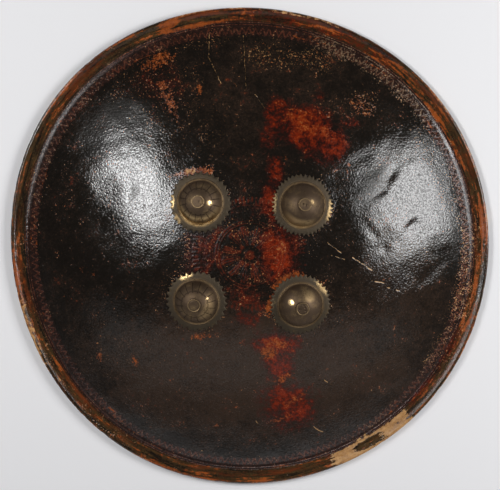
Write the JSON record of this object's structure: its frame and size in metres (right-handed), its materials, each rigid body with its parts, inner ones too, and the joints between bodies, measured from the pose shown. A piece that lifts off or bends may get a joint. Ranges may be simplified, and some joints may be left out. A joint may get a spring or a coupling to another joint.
{
  "type": "dhal shield",
  "caption": "Round convex hide shield with an upturned rim, riveted domed brass bosses with toothed flanges and a low-relief roundel.",
  "frame": {"origin": "the point on the floor under the middle of the shield, which lies on the flat ring under its rim's channel", "axes": "+Z out of the middle of the face, +Y towards the top edge of the face as pictured, +X to its right"},
  "size_m": [0.5079, 0.5086, 0.0849],
  "materials": {
    "lacquered_hide": "black lacquer, glossy, worn to red and tan hide",
    "boss_brass": "aged brass, dull patina",
    "rivet_brass": "aged brass, worn",
    "washer_brass": "aged brass, dark"
  },
  "bodies": {
    "root": {"hide_shell": "lacquered_hide", "boss_top_left": "boss_brass", "boss_top_right": "boss_brass", "boss_bottom_left": "boss_brass", "boss_bottom_right": "boss_brass", "rivet_top_left": "rivet_brass", "rivet_top_right": "rivet_brass", "rivet_bottom_left": "rivet_brass", "rivet_bottom_right": "rivet_brass", "washer_top_left": "washer_brass", "washer_top_right": "washer_brass", "washer_bottom_left": "washer_brass", "washer_bottom_right": "washer_brass"}
  },
  "joints": []
}
